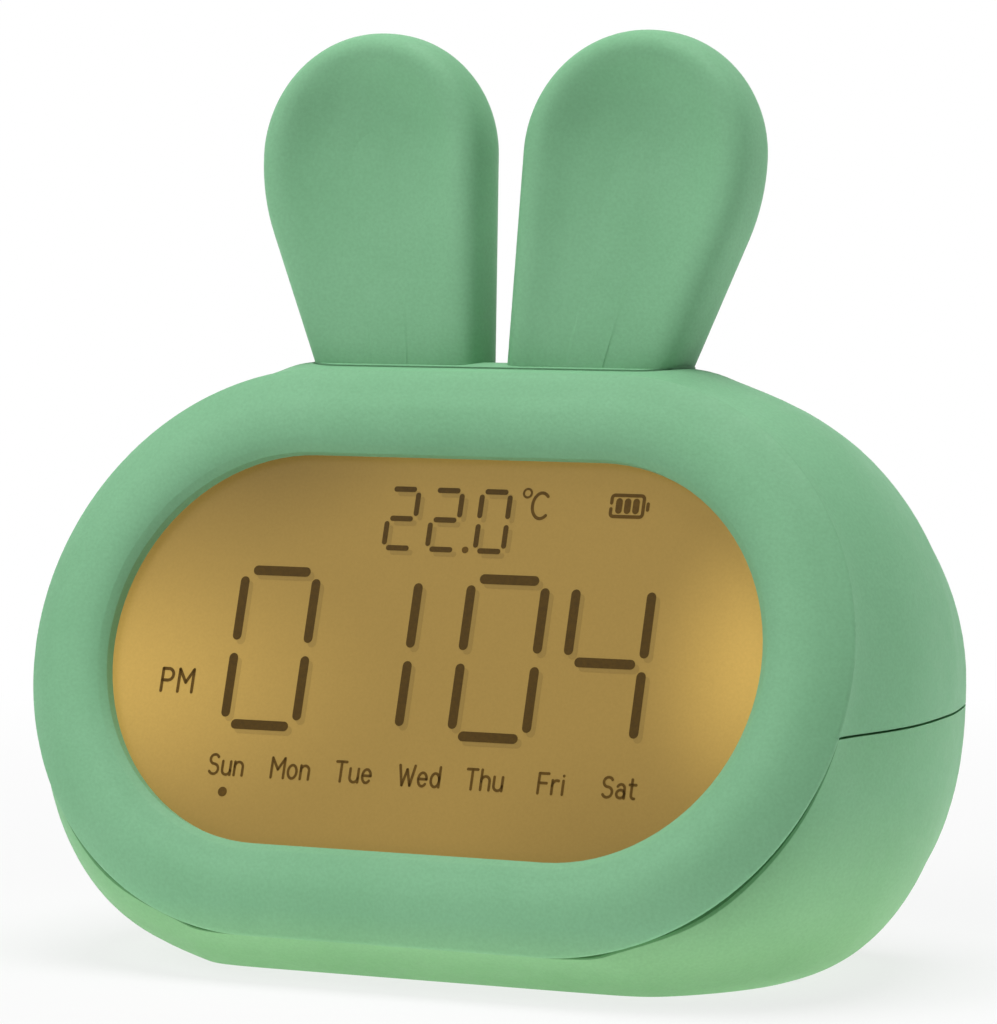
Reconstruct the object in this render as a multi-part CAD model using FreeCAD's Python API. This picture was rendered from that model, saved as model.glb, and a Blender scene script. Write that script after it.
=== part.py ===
import FreeCAD, Part
import math
import os

from FreeCAD import Placement, Rotation, Vector

# Rabbit-eared alarm clock with a night light, in millimetres.
# X is to the viewer's right, Y goes back, Z is up, and the floor is at Z = 0.

# Display face
face_y = -19.0             # opening centre, front to back
face_height = 41.0         # opening centre above the floor
face_tilt = 17.9           # degrees that the face leans back
straight = 20.0            # half length of the straight top and bottom of every oval
opening_radius = 25.3      # end radius of the display opening
ring_radius = 36.6         # end radius of the ring's outer edge, a fine step outside the housing
ring_crest = 3.1           # ring height in front of the display glass

# Housing, as ovals one behind the other, measured from the opening centre:
# depth, side radius, upper radius, lower radius, centre height, tilt, squareness above, below
housing_ovals = (
    (0.0, 36.45, 36.45, 36.45, 0.0, 17.9, 2.00, 2.0),
    (4.0, 36.5, 37.1, 38.95, 0.0, 17.9, 2.05, 2.5),
    (10.0, 38.0, 37.9, 41.4, -0.85, 15.8, 2.12, 2.6),
    (20.0, 38.85, 38.0, 40.3, -3.1, 13.0, 2.15, 3.05),
    (31.0, 37.9, 36.9, 38.0, -5.1, 6.8, 2.15, 2.8),
    (40.0, 35.85, 33.3, 36.7, -5.1, 3.0, 2.05, 2.5),
    (46.0, 33.1, 29.8, 34.5, -5.1, 1.0, 2.0, 2.4),
    (49.2, 27.5, 23.3, 27.0, -5.1, 0.0, 2.0, 2.4),
    (50.0, 23.5, 19.3, 22.0, -5.1, 0.0, 2.0, 2.4),
)
wall = 2.2
base_z = 0.4               # underside of the housing, held up by the feet
seam_z = 33.67             # height of the line where the two shells part
seam_gap = 0.3
lip = 0.95                 # thickness of the tongue behind the seam
back_y = face_y + housing_ovals[-1][0]
inner_back_y = back_y - wall

# Ears and their press cap
ear_y = face_y + 20.6
ear_base_z = face_height + 37.4
ear_lean = 6.0             # degrees
ear_centre_x = 18.75
ear_centre_s = 24.65       # round top's centre, up from the ear's foot
ear_radius = 16.1
ear_flank_radius = 27.0
ear_foot_inner_x = 1.7
ear_foot_flank_x = 25.45
ear_foot_s = -3.2
ear_half_thickness = 4.7
collar_half_x = 26.4
collar_radius = 5.6
collar_step = 0.15         # how far the collar stands above the middle of the hood
cap_gap = 0.3
flange_margin = 1.5
flange_thickness = 1.6
ear_travel = 0.8

# Lower shell: screw wells, feet and vents
well_places = ((38.5, 21.0), (34.0, 37.0))   # to the right of centre, behind the face centre
well_radius = 4.0
well_bore = 2.7
screw_seat_z = 20.0
screw_radius = 1.3
foot_places = ((24.0, 9.0), (22.0, 37.5))
foot_radius = 4.0
foot_height = 1.4

# Back panel: keys, loudspeaker, slide switch and charging socket
key_z = 45.0
key_xs = {"set_key": 31.5, "plus_key": 19.5, "minus_key": -19.5, "alarm_key": -31.5}
key_radius = 4.0
key_proud = 1.2
key_clearance = 0.25
speaker_radius = 10.5
speaker_step = 0.7         # ledge that holds the loudspeaker off the wall
hole_radius = 0.8
slider_x = 20.0
slider_travel = 3.0
socket_z = 24.8
switch_z = 25.0

# Display stack, measured along the face's own normal from the glass front
glass_half_x = 46.5
glass_half_y = 27.0
glass_corner = 14.0
glass_thickness = 2.2
guide_front = -2.5
guide_back = -5.5
mirror_back = -5.8
frame_back = -7.3
frame_radius = 32.5
stake_ring = 30.3
led_ys = (-7.0, 0.0, 7.0)
board_front = -13.3
board_thickness = 1.6
board_half_x = 30.0
board_half_y = 20.0
board_screw_places = ((-26.5, -16.5), (26.5, -16.5), (-20.0, 16.5), (20.0, 16.5))

# Parts behind the back wall
key_board_y = inner_back_y - 5.4
key_board_thickness = 1.2
key_switch_top = inner_back_y - 2.2
key_travel = 0.6
key_board_screw_places = ((-26.0, 38.5), (26.0, 38.5), (-15.0, 51.5), (15.0, 51.5))

# Parts on the floor of the tub
vent_x = 9.0
vent_y = face_y + 8.0
sensor_z = 5.0
cell_radius = 9.3
cell_length = 65.0
cell_y = face_y + 22.0
cell_z = base_z + wall + cell_radius + 0.6
strap_foot_z = cell_z + 1.0
strap_screw_y = cell_radius + 4.2
power_board_z = 21.7
power_board_front = face_y + 35.5
power_board_rear = inner_back_y - 0.6
power_screw_x = 25.0
power_screw_y = face_y + 39.0
socket_half_width = 4.7
socket_half_height = 1.65
slider_half = 1.6

# Parts under the ears
hood_inner_z = 74.4
tongue_height = 1.6
post_x = 15.0
post_radius = 2.0
bridge_top = 63.8
bridge_thickness = 2.0
bridge_half_x = 34.4
bridge_screw_x = 31.9
ear_switch_top = 67.9
spring_top = 71.2


def face_placement():
    """Place of the display face: its Z points out of the glass, its Y up the face."""
    turn = Rotation(Vector(1, 0, 0), 90 - face_tilt)
    return Placement(Vector(0, face_y, face_height), turn)


def on_face(shape):
    return shape.transformed(face_placement().toMatrix())


def mirrored(shape):
    return shape.mirror(Vector(0, 0, 0), Vector(1, 0, 0))


def box(x0, x1, y0, y1, z0, z1):
    return Part.makeBox(x1 - x0, y1 - y0, z1 - z0, Vector(x0, y0, z0))


def rod(radius, x, y, z0, z1):
    return Part.makeCylinder(radius, z1 - z0, Vector(x, y, z0))


def rod_y(radius, x, z, y0, y1):
    return Part.makeCylinder(radius, y1 - y0, Vector(x, y0, z), Vector(0, 1, 0))


def tube(outer, inner, x, y, z0, z1):
    return rod(outer, x, y, z0, z1).cut(rod(inner, x, y, z0, z1))


def oval_wire(half, radius, z=0.0):
    """Outline with straight top and bottom and round ends, in the XY plane."""
    right = Part.Arc(Vector(half, radius, z), Vector(half + radius, 0, z), Vector(half, -radius, z))
    left = Part.Arc(Vector(-half, -radius, z), Vector(-half - radius, 0, z), Vector(-half, radius, z))
    top = Part.LineSegment(Vector(-half, radius, z), Vector(half, radius, z))
    bottom = Part.LineSegment(Vector(half, -radius, z), Vector(-half, -radius, z))
    return Part.Wire([top.toShape(), right.toShape(), bottom.toShape(), left.toShape()])


def oval_plate(half, radius, z0, z1):
    face = Part.Face(oval_wire(half, radius, z0))
    return face.extrude(Vector(0, 0, z1 - z0))


def polygon_plate(points, z0, z1):
    corners = [Vector(x, y, z0) for x, y in points]
    face = Part.Face(Part.makePolygon(corners + corners[:1]))
    return face.extrude(Vector(0, 0, z1 - z0))


def quarter(side, height, squareness, place, sign_x):
    """One quarter of a housing oval, from its side point to its top or bottom."""
    steps = 6
    power = 2.0 / squareness
    points = []
    for step in range(steps + 1):
        angle = math.radians(90.0 * step / steps)
        x = sign_x * (straight + side * math.cos(angle) ** power if step < steps else straight)
        q = height * math.sin(angle) ** power
        points.append(place.multVec(Vector(x, q, 0)))
    up = place.Rotation.multVec(Vector(0, math.copysign(1, height), 0))
    across = Vector(-sign_x, 0, 0)
    curve = Part.BSplineCurve()
    curve.interpolate(Points=points, InitialTangent=up, FinalTangent=across)
    return curve.toShape()


def housing_wire(oval, inset):
    depth, side, upper, lower, centre, tilt, squareness_above, squareness_below = oval
    shift = inset * max(0.0, (depth - 30.0) / 20.0)
    centre_point = Vector(0, face_y + depth - shift, face_height + centre)
    place = Placement(centre_point, Rotation(Vector(1, 0, 0), 90 - tilt))
    side, upper, lower = side - inset, upper - inset, lower - inset
    top_left = place.multVec(Vector(-straight, upper, 0))
    top_right = place.multVec(Vector(straight, upper, 0))
    low_left = place.multVec(Vector(-straight, -lower, 0))
    low_right = place.multVec(Vector(straight, -lower, 0))
    edges = [
        Part.makeLine(top_left, top_right),
        quarter(side, upper, squareness_above, place, 1),
        quarter(side, -lower, squareness_below, place, 1),
        Part.makeLine(low_right, low_left),
        quarter(side, -lower, squareness_below, place, -1),
        quarter(side, upper, squareness_above, place, -1),
    ]
    return Part.Wire(Part.__sortEdges__(edges))


def housing_form(inset, floor_z=base_z):
    """The whole housing as a solid, drawn in by an inset and cut flat at its floor."""
    form = Part.makeLoft([housing_wire(oval, inset) for oval in housing_ovals], True, False)
    below = box(-90, 90, -90, 90, -60, floor_z)
    return form.cut(below)


def ring():
    """The rounded ring round the display, cored out behind its crest."""
    profile = [(ring_radius, 0.0), (ring_radius + 0.15, 0.8), (ring_radius - 0.55, 1.85),
               (ring_radius - 2.5, 2.65), (31.0, ring_crest), (28.0, 2.6), (26.2, 1.6)]
    crest = Part.BSplineCurve()
    crest.interpolate([Vector(r, 0, g) for r, g in profile])
    lip_top = Vector(opening_radius, 0, 0.75)
    lip_foot = Vector(opening_radius, 0, 0)
    start = Vector(profile[0][0], 0, profile[0][1])
    edges = [
        crest.toShape(),
        Part.makeLine(Vector(profile[-1][0], 0, profile[-1][1]), lip_top),
        Part.makeLine(lip_top, lip_foot),
        Part.makeLine(lip_foot, start),
    ]
    section = Part.Face(Part.Wire(edges))
    return swept_round(section)


def swept_round(section):
    """A section in the XZ plane carried round the oval, straights and ends."""
    right = section.copy()
    right.translate(Vector(straight, 0, 0))
    right_end = right.revolve(Vector(straight, 0, 0), Vector(0, 0, 1), 180)
    right_end.rotate(Vector(straight, 0, 0), Vector(0, 0, 1), -90)
    top = section.copy()
    top.rotate(Vector(0, 0, 0), Vector(0, 0, 1), 90)
    top.translate(Vector(-straight, 0, 0))
    top_run = top.extrude(Vector(2 * straight, 0, 0))
    pieces = [top_run, top_run.mirror(Vector(0, 0, 0), Vector(0, 1, 0)), mirrored(right_end)]
    return right_end.fuse(pieces).removeSplitter()


def ring_tongue():
    """The thin rim behind the ring that closes the seam from inside."""
    outer = ring_radius - wall - 0.2
    return oval_plate(straight, outer, -1.6, 0.2).cut(oval_plate(straight, outer - 1.2, -2, 1))


def tangent_angle(centre_x, radius, foot, turn):
    """Angle on a circle of the ear where a straight line from the foot touches it."""
    across, along = foot[0] - centre_x, foot[1] - ear_centre_s
    return math.atan2(along, across) + turn * math.acos(radius / math.hypot(across, along))


def ear_wire(inset, forward, foot_inset=None, foot_forward=None):
    """Ear outline drawn in by an inset; its plane may tip about the ear's foot."""
    foot_inset = inset if foot_inset is None else foot_inset
    foot_forward = forward if foot_forward is None else foot_forward
    slope = (forward - foot_forward) / (ear_centre_s - ear_foot_s)
    top_radius = ear_radius - inset
    flank_radius = ear_flank_radius - inset
    flank_x = ear_centre_x + ear_radius - ear_flank_radius

    def at(x, s):
        return Vector(x, s, foot_forward + slope * (s - ear_foot_s))

    def on_arc(centre, radius, angle):
        return at(centre + radius * math.cos(angle), ear_centre_s + radius * math.sin(angle))

    inner_foot = (ear_foot_inner_x + foot_inset, ear_foot_s)
    flank_foot = (ear_foot_flank_x - foot_inset, ear_foot_s)
    inner = tangent_angle(ear_centre_x, top_radius, inner_foot, -1) % (2 * math.pi)
    flank = tangent_angle(flank_x, flank_radius, flank_foot, 1)
    inner_top = on_arc(ear_centre_x, top_radius, inner)
    crown = on_arc(ear_centre_x, top_radius, math.pi / 2)
    side = on_arc(ear_centre_x, top_radius, 0)
    flank_top = on_arc(flank_x, flank_radius, flank)
    edges = [
        Part.makeLine(at(*inner_foot), inner_top),
        Part.Arc(inner_top, on_arc(ear_centre_x, top_radius, (inner + math.pi / 2) / 2), crown).toShape(),
        Part.Arc(crown, on_arc(ear_centre_x, top_radius, math.pi / 4), side).toShape(),
        Part.Arc(side, on_arc(flank_x, flank_radius, flank / 2), flank_top).toShape(),
        Part.makeLine(flank_top, at(*flank_foot)),
        Part.makeLine(at(*flank_foot), at(*inner_foot)),
    ]
    return Part.Wire(edges)


def ear():
    """The right ear: a paddle with a full rounded rim and a scoop that runs out at its foot."""
    half = ear_half_thickness
    back = [(7.0, -half - 0.3), (3.6, -half), (1.4, 0.7 - half), (0.3, -0.5 * half)]
    front = [(0.0, 0.0), (0.3, 0.5 * half), (1.15, half - 0.75), (2.7, half - 0.08)]
    scoop = [(4.1, half - 0.3, 4.0, half), (6.4, half - 1.35, 5.4, half), (9.4, half - 2.3, 7.2, half),
             (13.0, half - 2.8, 9.4, half)]
    loft = Part.makeLoft([ear_wire(*section) for section in back + front + scoop], True, False)
    turn = Rotation(Vector(1, 0, 0), 90 - ear_lean)
    return loft.transformed(Placement(Vector(0, ear_y, ear_base_z), turn).toMatrix())


def cap_plan(margin, z0, z1):
    """Upright prism over the press cap's plan, grown by a margin."""
    plate = oval_plate(collar_half_x - collar_radius, collar_radius + margin, z0, z1)
    plate.translate(Vector(0, ear_y, 0))
    return plate


def carried_across(form, half):
    """The form's middle section, carried straight to both sides."""
    section = Part.Face(form.slice(Vector(1, 0, 0), 0)[0])
    section.translate(Vector(-half, 0, 0))
    return section.extrude(Vector(2 * half, 0, 0))


def ear_cap(outer):
    level_hood = carried_across(outer, collar_half_x + 1)
    level_hood.translate(Vector(0, 0, collar_step))
    under_hood = housing_form(wall + 0.15)
    flange_floor = housing_form(wall + 0.15 + flange_thickness)
    low, high = face_height + 20, face_height + 60
    collar = cap_plan(0, low, high).common(level_hood).cut(flange_floor)
    flange = cap_plan(flange_margin, low, high).common(under_hood).cut(flange_floor)
    right = ear()
    below_collar = flange_floor.common(box(-60, 60, -60, 60, 0, high))
    right = right.cut(below_collar)
    posts = [rod(post_radius, side * post_x, ear_y, bridge_top - bridge_thickness - 1.5, hood_inner_z - 1)
             for side in (-1, 1)]
    plunger = rod(1.5, 0, ear_y, ear_switch_top + ear_travel + 0.1, hood_inner_z - 1)
    cap = collar.fuse([flange, right, mirrored(right), plunger] + posts)
    return cap.removeSplitter()


def pillar(x, depth, roof):
    """Screw pillar of the upper shell, from the seam up into the hood."""
    y = face_y + depth
    post = rod(3.5, x, y, seam_z + 0.1, face_height + 40).common(roof)
    return post.cut(rod(screw_radius, x, y, seam_z, seam_z + 14))


def key_holes():
    radius = key_radius + key_clearance
    return [rod_y(radius, x, key_z, inner_back_y - 1, back_y + 1) for x in key_xs.values()]


def grille_holes():
    holes = [rod_y(hole_radius, 0, key_z, inner_back_y - 1, back_y + 1)]
    for count, radius in ((6, 3.4), (12, 6.8)):
        for index in range(count):
            angle = 2 * math.pi * index / count
            x, z = radius * math.cos(angle), key_z + radius * math.sin(angle)
            holes.append(rod_y(hole_radius, x, z, inner_back_y - 1, back_y + 1))
    return holes


def back_bosses():
    """Screw bosses for the key board and the ring that holds the loudspeaker."""
    front = key_board_y + key_board_thickness
    parts = []
    for x, z in key_board_screw_places:
        boss = rod_y(2.2, x, z, front, inner_back_y + 0.5)
        parts.append(boss.cut(rod_y(0.9, x, z, front - 1, inner_back_y - 0.6)))
    seat = inner_back_y - speaker_step
    ring_wall = rod_y(speaker_radius + 1.3, 0, key_z, inner_back_y - 2.5, inner_back_y + 0.5)
    ring_wall = ring_wall.cut(rod_y(speaker_radius + 0.05, 0, key_z, inner_back_y - 4, seat))
    parts.append(ring_wall.cut(rod_y(speaker_radius - 1.2, 0, key_z, seat - 1, back_y + 1)))
    return parts


def upper_shell(outer, inner):
    above = box(-90, 90, -90, 90, seam_z, 130)
    hood = outer.cut(inner).common(above)
    rebate_slab = box(-90, 90, -90, 90, seam_z - 1, seam_z + tongue_height + 0.1)
    rebate = housing_form(wall - lip - 0.1).common(rebate_slab)
    roof = housing_form(wall / 2)
    pillars = [pillar(side * x, depth, roof) for side in (-1, 1) for x, depth in well_places]
    bridge_bosses = []
    for side in (-1, 1):
        boss = rod(2.4, side * bridge_screw_x, ear_y, bridge_top, face_height + 50).common(roof)
        bridge_bosses.append(boss.cut(rod(1.0, side * bridge_screw_x, ear_y, bridge_top - 1, bridge_top + 7)))
    stakes = [on_face(stake) for stake in display_stakes()]
    back_inside = [boss.common(roof) for boss in back_bosses()]
    body = hood.fuse([on_face(ring().fuse(ring_tongue()))] + stakes + pillars + bridge_bosses + back_inside)
    slot = cap_plan(cap_gap, face_height + 20, face_height + 60)
    in_ring = on_face(box(-90, 90, -90, 90, -1.7, 20))
    return body.cut([slot, rebate.cut(in_ring)] + key_holes() + grille_holes()).removeSplitter()


def lower_shell(outer, inner):
    below = box(-90, 90, -90, 90, -10, seam_z - seam_gap)
    tub = outer.cut(inner).common(below)
    tongue_slab = box(-90, 90, -90, 90, seam_z - 2, seam_z + tongue_height)
    tongue = housing_form(wall - lip).cut(housing_form(wall)).common(tongue_slab)
    tongue = tongue.cut(on_face(box(-90, 90, -90, 90, -2.0, 60)))
    in_front = on_face(box(-90, 90, -90, 90, -seam_gap, 60))
    tub = tub.fuse(tongue).cut(in_front)
    roof = housing_form(wall / 2).common(box(-90, 90, -90, 90, -10, seam_z - 0.2))
    wells, bores = [], []
    for side in (-1, 1):
        for x, depth in well_places:
            y = face_y + depth
            wells.append(rod(well_radius, side * x, y, base_z, seam_z).common(roof))
            bores.append(rod(well_bore, side * x, y, base_z - 1, screw_seat_z))
            bores.append(rod(screw_radius + 0.15, side * x, y, base_z, seam_z + 1))
        for x, depth in foot_places:
            bores.append(rod(foot_radius + 0.1, side * x, face_y + depth, base_z - 1, foot_height))
    inside = wells + [saddle.common(roof) for saddle in cell_saddles()]
    inside += [post for post in power_board_posts()] + [boss for boss in strap_bosses()]
    slots = vent_slots() + [socket_window(), slider_window()]
    return tub.fuse(inside).cut(bores + slots).removeSplitter()


def vent_slots():
    """Slots under the temperature sensor."""
    slots = []
    for index in range(-2, 3):
        x = vent_x + 3.2 * index
        slots.append(box(x - 0.7, x + 0.7, vent_y - 4, vent_y + 4, base_z - 1, base_z + wall + 1))
    return slots


def socket_window():
    window = oval_plate(socket_half_width - socket_half_height, socket_half_height + 0.3, -6, 6)
    window.rotate(Vector(0, 0, 0), Vector(1, 0, 0), 90)
    window.translate(Vector(0, back_y, socket_z))
    return window


def slider_window():
    x0, x1 = slider_x - slider_half - 0.4, slider_x + slider_half + slider_travel + 0.4
    return box(x0, x1, inner_back_y - 3, back_y + 2, switch_z - 1.7, switch_z + 1.7)


def cell_saddles():
    saddles = []
    for x in (-22, 22):
        block = box(x - 1, x + 1, cell_y - 8, cell_y + 8, base_z + 1, cell_z - 1)
        hollow = Part.makeCylinder(cell_radius, 10, Vector(x - 5, cell_y, cell_z), Vector(1, 0, 0))
        saddles.append(block.cut(hollow))
    return saddles


def power_board_posts():
    posts = []
    for side in (-1, 1):
        post = rod(2.5, side * power_screw_x, power_screw_y, base_z + 1, power_board_z)
        bore = rod(0.9, side * power_screw_x, power_screw_y, power_board_z - 6, power_board_z + 1)
        posts.append(post.cut(bore))
    return posts


def strap_bosses():
    bosses = []
    for side in (-1, 1):
        y = cell_y + side * strap_screw_y
        boss = rod(2.4, 0, y, base_z + 1, strap_foot_z)
        bosses.append(boss.cut(rod(0.9, 0, y, strap_foot_z - 6, strap_foot_z + 1)))
    return bosses


def glass_outline(margin):
    """Display glass outline: a rectangle with its corners cut, grown by a margin."""
    x, y, corner = glass_half_x + margin, glass_half_y + margin, glass_corner + margin * 0.6
    right = [(x, -y + corner), (x, y - corner), (x - corner, y)]
    left = [(-x + corner, y), (-x, y - corner), (-x, -y + corner)]
    return right + left + [(-x + corner, -y), (x - corner, -y)]


def lcd_glass():
    front = polygon_plate(glass_outline(0), -glass_thickness / 2, 0)
    rear = polygon_plate(glass_outline(0)[:6] + [(-glass_half_x + glass_corner, -glass_half_y + 2),
                                                 (glass_half_x - glass_corner, -glass_half_y + 2)],
                         -glass_thickness, -glass_thickness / 2)
    return on_face(front.fuse(rear).removeSplitter())


def film(z0, z1):
    return on_face(polygon_plate(glass_outline(-0.8), z0, z1))


def light_guide():
    plate = polygon_plate(glass_outline(-0.8), guide_back, guide_front)
    pockets = []
    for side in (-1, 1):
        for y in led_ys:
            x = side * (glass_half_x - 0.8)
            pockets.append(box(x - 0.9, x + 0.9, y - 1.9, y + 1.9, guide_back - 1, guide_front + 1))
    return on_face(plate.cut(pockets))


def led_strip(side):
    """Upright strip at the end of the light guide, with its three light emitters."""
    x = side * (glass_half_x + 0.3)
    far = side * (glass_half_x + 1.3)
    strip = box(min(x, far), max(x, far), -11, 11, guide_back, guide_front)
    tip = side * (glass_half_x - 0.8 - 0.7)
    for y in led_ys:
        emitter = box(min(x, tip), max(x, tip), y - 1.6, y + 1.6, guide_back + 0.4, guide_front - 0.4)
        strip = strip.fuse(emitter)
    return on_face(strip.removeSplitter())


def stake_places():
    angle = math.radians(45)
    x, y = straight + stake_ring * math.cos(angle), stake_ring * math.sin(angle)
    return [(sx * x, sy * y) for sx in (-1, 1) for sy in (-1, 1)]


def display_stakes():
    """Posts on the ring's back, headed over behind the display frame by heat."""
    stakes = []
    for x, y in stake_places():
        stakes.append(rod(1.0, x, y, frame_back - 0.4, 0.5))
        stakes.append(Part.makeCone(1.1, 1.8, 0.8, Vector(x, y, frame_back - 0.8)))
    return stakes


def display_frame():
    """Tray behind the ring that holds the glass, films and light guide."""
    tray = oval_plate(straight, frame_radius, frame_back, 0)
    glass_pocket = polygon_plate(glass_outline(0.15), -glass_thickness, 1)
    guide_pocket = polygon_plate(glass_outline(-0.6), mirror_back, 1)
    cuts = [glass_pocket, guide_pocket]
    for side in (-1, 1):
        x0, x1 = side * (glass_half_x - 4), side * (glass_half_x + 1.5)
        cuts.append(box(min(x0, x1), max(x0, x1), -11.3, 11.3, mirror_back, 1))
    cuts.append(box(-21, 21, -glass_half_y - 1.6, -glass_half_y + 1, frame_back - 1, -glass_thickness / 2))
    cuts += [rod(1.1, x, y, frame_back - 1, 1) for x, y in stake_places()]
    window = box(-24, 24, -14, 14, frame_back - 1, mirror_back + 1)
    feet = []
    for x, y in board_screw_places:
        feet.append(rod(2.4, x, y, board_front, frame_back + 0.5))
        cuts.append(rod(1.0, x, y, board_front - 1, mirror_back - 0.6))
    level_rib = box(-24, 24, -0.6, 0.6, frame_back, mirror_back)
    upright_rib = box(-0.6, 0.6, -14, 14, frame_back, mirror_back)
    tray = tray.cut([window]).fuse([level_rib, upright_rib] + feet).cut(cuts)
    return on_face(tray.removeSplitter())


def board_outline():
    x, y, notch = board_half_x, board_half_y, 6.0
    return [(x, -y), (x, y - notch), (x - notch, y), (-x + notch, y), (-x, y - notch), (-x, -y)]


def main_board():
    board = polygon_plate(board_outline(), board_front - board_thickness, board_front)
    holes = [rod(1.1, x, y, board_front - 3, board_front + 1) for x, y in board_screw_places]
    return on_face(board.cut(holes))


def lcd_flex():
    """Thin bent tail from the bottom of the glass back to the main board."""
    y0 = -glass_half_y - 0.9
    board_y = -board_half_y
    thick = 0.25
    profile = [
        (y0 - thick, -glass_thickness / 2), (-glass_half_y + 1.6, -glass_thickness / 2),
        (-glass_half_y + 1.6, -glass_thickness / 2 - thick), (y0, -glass_thickness / 2 - thick),
        (y0, board_front + 1.4 + thick), (board_y + 4, board_front + thick), (board_y + 4, board_front),
        (board_y + 0.5, board_front), (y0 - thick, board_front + 1.4),
    ]
    points = [Vector(-20, y, z) for y, z in profile]
    face = Part.Face(Part.makePolygon(points + points[:1]))
    return on_face(face.extrude(Vector(40, 0, 0)))


def controller_chip():
    """Black resin blob over the clock's chip."""
    back = board_front - board_thickness
    return on_face(Part.makeCone(5.2, 6.8, 1.8, Vector(-6, 2, back - 1.8)))


def board_parts():
    back = board_front - board_thickness
    crystal = rod(1.0, 0, 0, 0, 6.2).transformed(
        Placement(Vector(8, 10, back - 1.1), Rotation(Vector(1, 0, 0), 90)).toMatrix())
    capacitor = rod(3.0, 18, -6, back - 7.5, back)
    neck = tube(3.5, 2.7, 18, -6, back - 6.6, back - 6.2)
    capacitor = capacitor.cut(neck)
    plug = box(-18, -6, -18, -13, back - 4.5, back)
    socket = plug.cut(box(-17.2, -6.8, -17.2, -13.8, back - 5, back - 1))
    parts = {"quartz_crystal": crystal, "capacitor": capacitor, "wire_socket": socket}
    return {name: on_face(shape) for name, shape in parts.items()}


def temperature_sensor():
    """Bead on two leads that hang from the main board towards the vent slots."""
    edge = face_placement().multVec(Vector(vent_x, -board_half_y + 0.6, board_front - board_thickness - 0.3))
    bead = Part.makeCylinder(1.5, 3.6, Vector(vent_x, edge.y, sensor_z))
    leads = [rod(0.3, vent_x + dx, edge.y, sensor_z + 3, edge.z + 3) for dx in (-0.8, 0.8)]
    return bead.fuse(leads).cut(main_board())


def screw(x, y, z_head, length, radius, head_radius, head_height):
    """Pan-head screw driven upwards, its head's seat at the given height."""
    shank = rod(radius, x, y, z_head, z_head + length)
    head = rod(head_radius, x, y, z_head - head_height, z_head)
    low_rim = [edge for edge in head.Edges if edge.BoundBox.ZMax < z_head - head_height / 2]
    return shank.fuse(head.makeChamfer(head_height * 0.3, low_rim))


def housing_screws():
    return Part.makeCompound([
        screw(side * x, face_y + depth, screw_seat_z, 24.0, screw_radius - 0.02, 2.4, 1.8)
        for side in (-1, 1) for x, depth in well_places])


def feet():
    pads = []
    for side in (-1, 1):
        for x, depth in foot_places:
            pad = rod(foot_radius, side * x, face_y + depth, 0, foot_height)
            pads.append(pad.makeChamfer(0.25, [edge for edge in pad.Edges if edge.BoundBox.ZMax < 0.01]))
    return Part.makeCompound(pads)


def key(x):
    """Back key: a button with a bevelled rim, a flange behind the wall and a stem to its switch."""
    tip = back_y + key_proud
    button = rod_y(key_radius, x, key_z, inner_back_y - 0.2, tip)
    rim = [edge for edge in button.Edges if edge.BoundBox.YMin > tip - 0.01]
    button = button.makeChamfer(0.45, rim)
    flange = rod_y(key_radius + 0.9, x, key_z, inner_back_y - 1.15, inner_back_y - 0.1)
    stem = rod_y(1.6, x, key_z, key_switch_top + key_travel + 0.1, inner_back_y - 1)
    return button.fuse([flange, stem]).removeSplitter()


def key_board():
    y0, y1 = key_board_y, key_board_y + key_board_thickness
    board = box(-38, 38, y0, y1, key_z - speaker_radius - 4.5, key_z + 8.5)
    hole = rod_y(speaker_radius + 1.8, 0, key_z, y0 - 1, y1 + 1)
    return board.cut([hole] + [rod_y(1.0, x, z, y0 - 1, y1 + 1) for x, z in key_board_screw_places])


def key_switches():
    bodies = []
    y1 = key_board_y + key_board_thickness
    for x in key_xs.values():
        base = box(x - 3, x + 3, y1, key_switch_top - 0.5, key_z - 3, key_z + 3)
        bodies.append(base.fuse(rod_y(1.7, x, key_z, key_switch_top - 0.6, key_switch_top)))
    return Part.makeCompound(bodies)


def small_screws(places, tip_y, seat_y):
    """Screws along Y, with their heads in front of the seat."""
    screws = []
    for x, z in places:
        upright = screw(0, 0, 0, tip_y - seat_y, 0.88, 1.7, 1.2)
        upright.rotate(Vector(0, 0, 0), Vector(1, 0, 0), -90)
        upright.translate(Vector(x, seat_y, z))
        screws.append(upright)
    return screws


def speaker():
    """Loudspeaker: basket, cone and magnet, facing the holes in the back."""
    face = inner_back_y - speaker_step
    basket = rod_y(speaker_radius, 0, key_z, face - 1.0, face)
    hollow = rod_y(speaker_radius - 1.2, 0, key_z, face - 2, face + 1)
    skirt = Part.makeCone(6.2, speaker_radius - 0.6, 2.6, Vector(0, face - 3.6, key_z), Vector(0, 1, 0))
    inside = Part.makeCone(5.2, speaker_radius - 1.3, 2.6, Vector(0, face - 3.59, key_z), Vector(0, 1, 0))
    inside = inside.fuse(rod_y(5.2, 0, key_z, face - 4, face - 3.5))
    mouth = rod_y(speaker_radius - 1.2, 0, key_z, face - 1, face + 1)
    frame = basket.cut(hollow).fuse(skirt).cut([inside, mouth])
    outer_cone = Part.makeCone(3.0, speaker_radius - 1.3, 1.9, Vector(0, face - 2.4, key_z), Vector(0, 1, 0))
    inner_cone = outer_cone.copy()
    inner_cone.translate(Vector(0, 0.35, 0))
    dome = rod_y(3.2, 0, key_z, face - 2.4, face - 2.0)
    cone = outer_cone.cut(inner_cone).fuse(dome)
    magnet = rod_y(6.2, 0, key_z, face - 6.6, face - 3.62)
    return {"speaker_frame": frame, "speaker_cone": cone, "speaker_magnet": magnet}


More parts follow.
